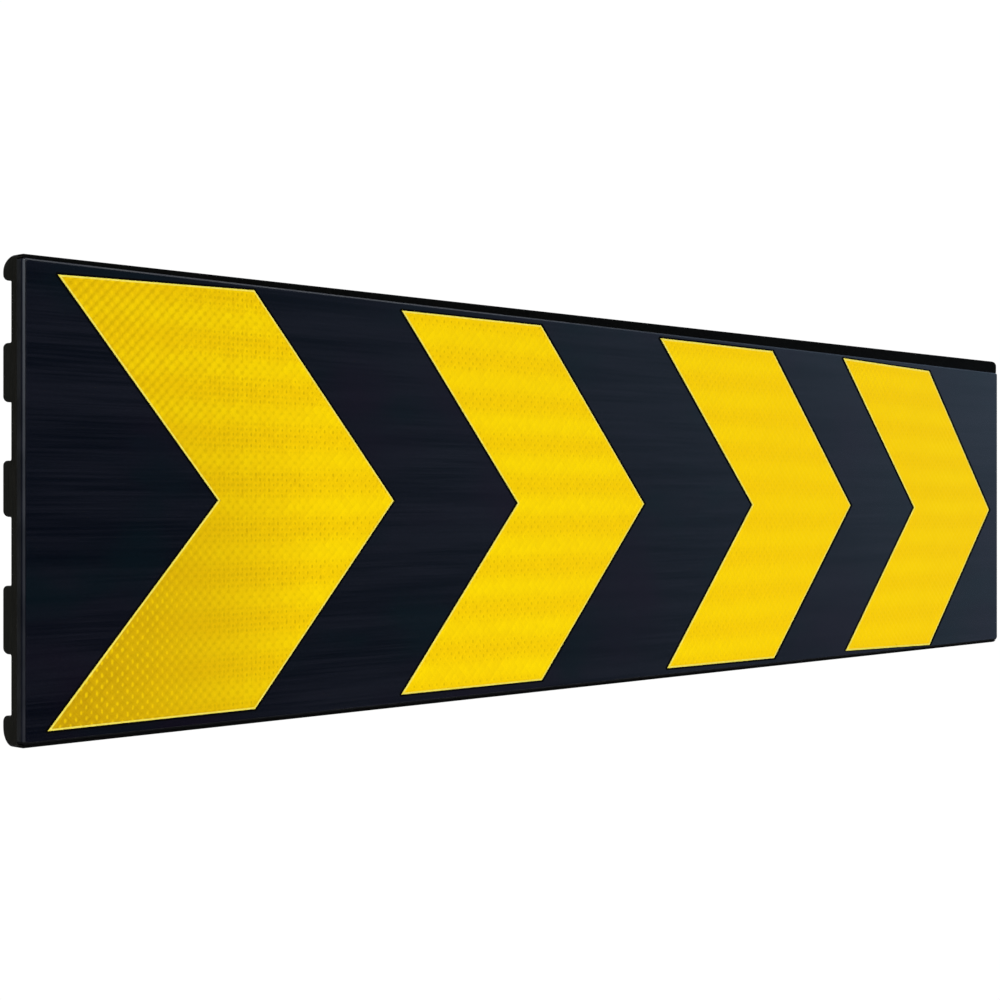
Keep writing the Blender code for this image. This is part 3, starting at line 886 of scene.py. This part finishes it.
low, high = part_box("black_sheeting")
radii = (1.5 * MM, 3.5 * MM, 1.0 * MM, 1.5 * MM)
stops = [
    (low.y, 0.14 * MM),
    (low.y + 0.02 * MM, 0.06 * MM),
    (low.y + 0.06 * MM, 0.02 * MM),
    (low.y + 0.14 * MM, 0.0),
    (high.y + 0.22 * MM, 0.0),
]
form = stacked(plate_rings(low, high, radii, stops))
for face in form.faces:
    face.material_index = 0
def offset_loop(points, widths, bevel):
    """A closed anticlockwise outline with each side moved outwards by its own
    width. Every corner becomes two points, and a sharp one is cut off."""
    count = len(points)
    lines = []
    for i in range(count):
        a, b = Vector(points[i]), Vector(points[(i + 1) % count])
        way = (b - a).normalized()
        lines.append((a + Vector((way.y, -way.x)) * widths[i], way, Vector((way.y, -way.x))))
    out = []
    for i in range(count):
        (p, d, n), (q, e, m) = lines[i - 1], lines[i]
        cross = d.x * e.y - d.y * e.x
        meet = p + d * (((q - p).x * e.y - (q - p).y * e.x) / cross)
        here = Vector(points[i])
        if bevel and cross > 0 and d.dot(e) < -0.2:
            out.append(tuple(here + n * widths[i - 1] + d * 0.6 * widths[i - 1]))
            out.append(tuple(here + m * widths[i] - e * 0.6 * widths[i]))
        else:
            out.append(tuple(meet - d * 0.15 * MM))
            out.append(tuple(meet + e * 0.15 * MM))
    return out


# Painted shade: a dark strip round each arrow, just proud of the film, wider
# towards the right-hand arrows and on each arrow's right-hand sides.
for index in range(1, 5):
    corners = arrow_corners(index)
    left = (2.2, 2.6, 3.1, 3.4)[index - 1]
    right = (2.8, 3.5, 4.3, 4.8)[index - 1]
    upper = (2.0, 2.0, 2.2, 1.9)[index - 1]
    lower = (2.0, 2.0, 2.2, 1.1)[index - 1]
    widths = [w * MM for w in (lower, right, right, upper, left, left)]
    outer = offset_loop(corners, widths, True)
    crest = offset_loop(corners, [w - 0.08 * MM for w in widths], True)
    inner = offset_loop(corners, [-0.5 * MM] * 6, False)
    top = low.y - 0.05 * MM
    loops = [
        [form.verts.new((u, y, v)) for u, v in shape]
        for shape, y in ((outer, low.y + 0.05 * MM), (crest, top), (inner, top), (inner, low.y + 0.05 * MM))
    ]
    for first, second in zip(loops, loops[1:] + loops[:1]):
        for i in range(12):
            j = (i + 1) % 12
            face = form.faces.new((first[i], first[j], second[j], second[i]))
            face.material_index = 1
film = new_object(
    "black_face_film",
    mesh_from(form, "black_face_film", [BLACK_FILM, EDGE_SHADE_LINE], 50),
    ["black_sheeting"],
)
film.modifiers.new("normals", "WEIGHTED_NORMAL").keep_sharp = True


# ---------------------------------------------------------------------------
# Rubber back
# ---------------------------------------------------------------------------
RIBS = (
    (200, 179.5, (19, 12.5), (9, 5.5)),
    (129, 80.5, (6, 4), (8, 5)),
    (33, -13, (6, 4), (8, 5)),
    (-69, -125, (6, 4), (8, 5)),
    (-175, -200, (6, 5.5), (14, 15)),
)


def back_corners(front):
    """Corners of the ribbed section as (y, z, ry, rz)."""
    floor, root = -12 * MM, 1.5 * MM
    corners = [(front, 200 * MM, 2 * MM, 2 * MM)]
    for upper, lower, upper_round, lower_round in RIBS:
        if upper != 200:
            corners.append((floor, upper * MM, root, root))
        corners.append((0, upper * MM, upper_round[0] * MM, upper_round[1] * MM))
        corners.append((0, lower * MM, lower_round[0] * MM, lower_round[1] * MM))
        if lower != -200:
            corners.append((floor, lower * MM, root, root))
    corners.append((front, -200 * MM, 2 * MM, 2 * MM))
    return corners


def back_mesh(name):
    low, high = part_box("rubber_back")
    points = arc_outline(back_corners(low.y), 8)
    round_off = 0.8 * MM
    rings = []
    ends = [
        (
            round_off * (1 - math.cos(math.pi / 2 * k / 3)),
            round_off * (1 - math.sin(math.pi / 2 * k / 3)),
        )
        for k in range(4)
    ]  # (distance from the end, inset), from the end's flat to the full section
    for distance, inset in ends:
        shape = inset_points(points, inset) if inset > 1e-7 else points
        rings.append([(low.x + distance, u, v) for u, v in shape])
    for distance, inset in reversed(ends):
        shape = inset_points(points, inset) if inset > 1e-7 else points
        rings.append([(high.x - distance, u, v) for u, v in shape])
    form = stacked(rings)
    for face in form.faces:
        if all(abs(abs(v.co.x) - high.x) < 1e-6 for v in face.verts):
            face.material_index = 1
    return mesh_from(form, name, [RUBBER, CUT_RUBBER], 40)


def prism(outline, y0, y1):
    """A cutter mesh: an outline in XZ from y0 to y1."""
    rings = [[(u, y, v) for u, v in outline] for y in (y0, y1)]
    return mesh_from(stacked(rings), "prism", [RUBBER])


def corner_outline(side, up, width, height, steps=10):
    """What a square corner of the board has outside its round."""
    end, edge = side * 0.8, up * 0.2
    centre = (end - side * width, edge - up * height)
    points = [
        (
            centre[0] + side * width * math.sin(math.pi / 2 * k / steps),
            centre[1] + up * height * math.cos(math.pi / 2 * k / steps),
        )
        for k in range(steps + 1)
    ]
    spare = 5 * MM
    return points + [
        (end + side * spare, centre[1]),
        (end + side * spare, edge + up * spare),
        (centre[0], edge + up * spare),
    ]


def boolean(obj, cutter, operation="DIFFERENCE"):
    """Cuts obj's mesh with a cutter object and removes the cutter."""
    change = obj.modifiers.new("cut", "BOOLEAN")
    change.operation = operation
    change.solver = "EXACT"
    change.object = cutter
    graph = bpy.context.evaluated_depsgraph_get()
    mesh = bpy.data.meshes.new_from_object(obj.evaluated_get(graph), depsgraph=graph)
    obj.modifiers.remove(change)
    mesh.name = obj.data.name
    obj.data = mesh
    bpy.data.objects.remove(cutter, do_unlink=True)


def joined(meshes_at):
    """One cutter object from separate meshes, each at a place."""
    form = bmesh.new()
    for mesh, place in meshes_at:
        copy = mesh.copy()
        copy.transform(Matrix.Translation(place))
        form.from_mesh(copy)
        bpy.data.meshes.remove(copy)
    bmesh.ops.recalc_face_normals(form, faces=form.faces)
    mesh = bpy.data.meshes.new("cutters")
    form.to_mesh(mesh)
    form.free()
    obj = bpy.data.objects.new("cutters", mesh)
    SCENE.collection.objects.link(obj)
    return obj


back = bpy.data.objects.new("ribbed_rubber_back", back_mesh("ribbed_rubber_back"))
SCENE.collection.objects.link(back)

screw_nodes = [f"screw_{r}_{c}" for r in range(1, 5) for c in range(1, 5)]
insert_nodes = [f"insert_{level}_{end}" for level in ("upper", "lower") for end in ("left", "right")]
screw_hole = lathe("hole", [(0, -8 * MM), (2.8 * MM, -8 * MM), (2.8 * MM, -22 * MM), (0, -22 * MM)], 24, [RUBBER])
seat_hole = lathe(
    "seat",
    [
        (0, 1 * MM),
        (7.6 * MM, 1 * MM),
        (7.6 * MM, 0.0),
        (6.8 * MM, -0.8 * MM),
        (6.8 * MM, -18.1 * MM),
        (14.3 * MM, -18.1 * MM),
        (14.3 * MM, -22 * MM),
        (0, -22 * MM),
    ],
    40,
    [RUBBER],
)
holes = []
for node in screw_nodes:
    place = centre_of(node)
    holes.append((screw_hole, Vector((place.x, 0, place.z))))
for node in insert_nodes:
    place = centre_of(node)
    holes.append((seat_hole, Vector((place.x, 0, place.z))))
for side, up, width, height in ((-1, 1, 2, 2), (-1, -1, 2, 2), (1, 1, 12, 8), (1, -1, 10, 7)):
    holes.append(
        (prism(corner_outline(side, up, width * MM, height * MM), -45 * MM, 15 * MM), Vector())
    )
boolean(back, joined(holes))
# The recess the board lies in.
past = 0.805
boolean(
    back,
    joined(
        [
            (
                prism(
                    [(-past, -197.5 * MM), (past, -197.5 * MM), (past, lip_edge(past)), (-past, lip_edge(-past))],
                    -40 * MM,
                    -20.2 * MM,
                ),
                Vector(),
            )
        ]
    ),
)
back.data.shade_smooth()
back.data.set_sharp_from_angle(angle=math.radians(40))
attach(back, BODY)
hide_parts("rubber_back")


# ---------------------------------------------------------------------------
# Screws, washers and inserts
# ---------------------------------------------------------------------------
def screw_mesh():
    """A pan head with a six-lobe recess over a threaded, pointed shank; y = 0 is
    under the head, and +y is towards the rear."""
    head_r, head_h, edge = 5 * MM, 3 * MM, 1.5 * MM
    profile = [(0, head_h), (head_r - 1.3 * edge, head_h)]
    for k in range(1, 8):
        t = math.pi / 2 * k / 7
        profile.append((head_r - 1.3 * edge * (1 - math.sin(t)), head_h - edge * (1 - math.cos(t))))
    profile += [(head_r, 0.15 * MM), (head_r - 0.15 * MM, 0)]
    pitch = 1.8 * MM
    y = -0.6 * MM
    profile.append((1.75 * MM, 0))
    while y > -14.2 * MM:
        taper = 1.0 if y > -12 * MM else max(0.45, 1 - (-12 * MM - y) / (4 * MM))
        profile += [
            (1.75 * MM * taper, y),
            (2.38 * MM * taper, y - 0.42 * pitch),
            (2.38 * MM * taper, y - 0.50 * pitch),
            (1.75 * MM * taper, y - 0.92 * pitch),
        ]
        y -= pitch
    profile += [(0.5 * MM, -15.9 * MM), (0, -16 * MM)]
    mesh = lathe("pan_screw", profile, 32, [SCREW_STEEL], 30)
    # The recess: a six-lobe outline, sunk 1.9 mm.
    points = []
    for k in range(72):
        t = 2 * math.pi * k / 72
        r = 1.72 * MM + 0.30 * MM * math.cos(6 * t)
        points.append((r * math.cos(t), r * math.sin(t)))
    rings = [[(u * scale, y, v * scale) for u, v in points] for y, scale in ((1.1 * MM, 0.93), (4 * MM, 1.0))]
    cutter = bpy.data.objects.new("recess", mesh_from(stacked(rings), "recess", [SCREW_STEEL]))
    SCENE.collection.objects.link(cutter)
    holder = bpy.data.objects.new("screw_holder", mesh)
    SCENE.collection.objects.link(holder)
    boolean(holder, cutter)
    mesh = holder.data
    bpy.data.objects.remove(holder, do_unlink=True)
    mesh.shade_smooth()
    mesh.set_sharp_from_angle(angle=math.radians(30))
    return mesh


def washer_mesh():
    """A wide stamped washer: its upper rim drawn round, its lower one crisp."""
    r, hole, t = 10 * MM, 2.8 * MM, 1.2 * MM
    profile = [(hole + 0.15 * MM, t), (r - 0.45 * MM, t)]
    for k in range(1, 6):
        a = math.pi / 2 * k / 5
        profile.append((r - 0.45 * MM * (1 - math.sin(a)), t - 0.35 * MM * (1 - math.cos(a))))
    profile += [(r, 0.1 * MM), (r - 0.1 * MM, 0), (hole + 0.1 * MM, 0), (hole, 0.1 * MM), (hole, t - 0.2 * MM)]
    return lathe("wide_washer", profile, 64, [WASHER_STEEL], 30)


def insert_mesh():
    """A flanged barrel with a chamfered, threaded bore; y = 0 is its rear end."""
    bore, crest, barrel, flange = 4.0 * MM, 3.4 * MM, 6.5 * MM, 14 * MM
    end, shoulder = -20.2 * MM, -18.4 * MM
    profile = [(bore + 0.5 * MM, 0), (barrel - 0.4 * MM, 0), (barrel, -0.4 * MM), (barrel, shoulder + 0.3 * MM),
               (barrel + 0.3 * MM, shoulder), (flange - 0.3 * MM, shoulder), (flange, shoulder - 0.3 * MM),
               (flange, end + 0.3 * MM), (flange - 0.3 * MM, end), (bore + 0.4 * MM, end)]
    pitch = 1.25 * MM
    y = end + 0.5 * MM
    while y < -1.6 * MM:
        profile += [(crest, y), (crest, y + 0.15 * pitch), (bore, y + 0.55 * pitch), (bore, y + 0.62 * pitch)]
        y += pitch
    profile += [(crest, y), (crest, y + 0.1 * MM)]
    return lathe("flanged_insert", profile, 40, [ZINC], 25)


def gapless(mesh, node, name, turn=0.0, lift=0.0):
    place = centre_of(node)
    obj = bpy.data.objects.new(name, mesh)
    obj.matrix_world = Matrix.Translation((place.x, lift, place.z)) @ Matrix.Rotation(turn, 4, "Y")
    SCENE.collection.objects.link(obj)
    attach(obj, BODY)
    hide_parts(node)
    return obj


SCREW, WASHER, INSERT = screw_mesh(), washer_mesh(), insert_mesh()
rng = random.Random(7)
for node in screw_nodes:
    row, column = node.split("_")[1:]
    gapless(SCREW, node, f"pan_screw_{row}_{column}", rng.uniform(0, math.pi), -10.45 * MM)
    gapless(WASHER, f"washer_{row}_{column}", f"wide_washer_{row}_{column}", rng.uniform(0, math.pi), -11.68 * MM)
for node in insert_nodes:
    gapless(INSERT, node, "flanged_" + node, rng.uniform(0, math.pi), 0.0)

bpy.context.view_layer.update()
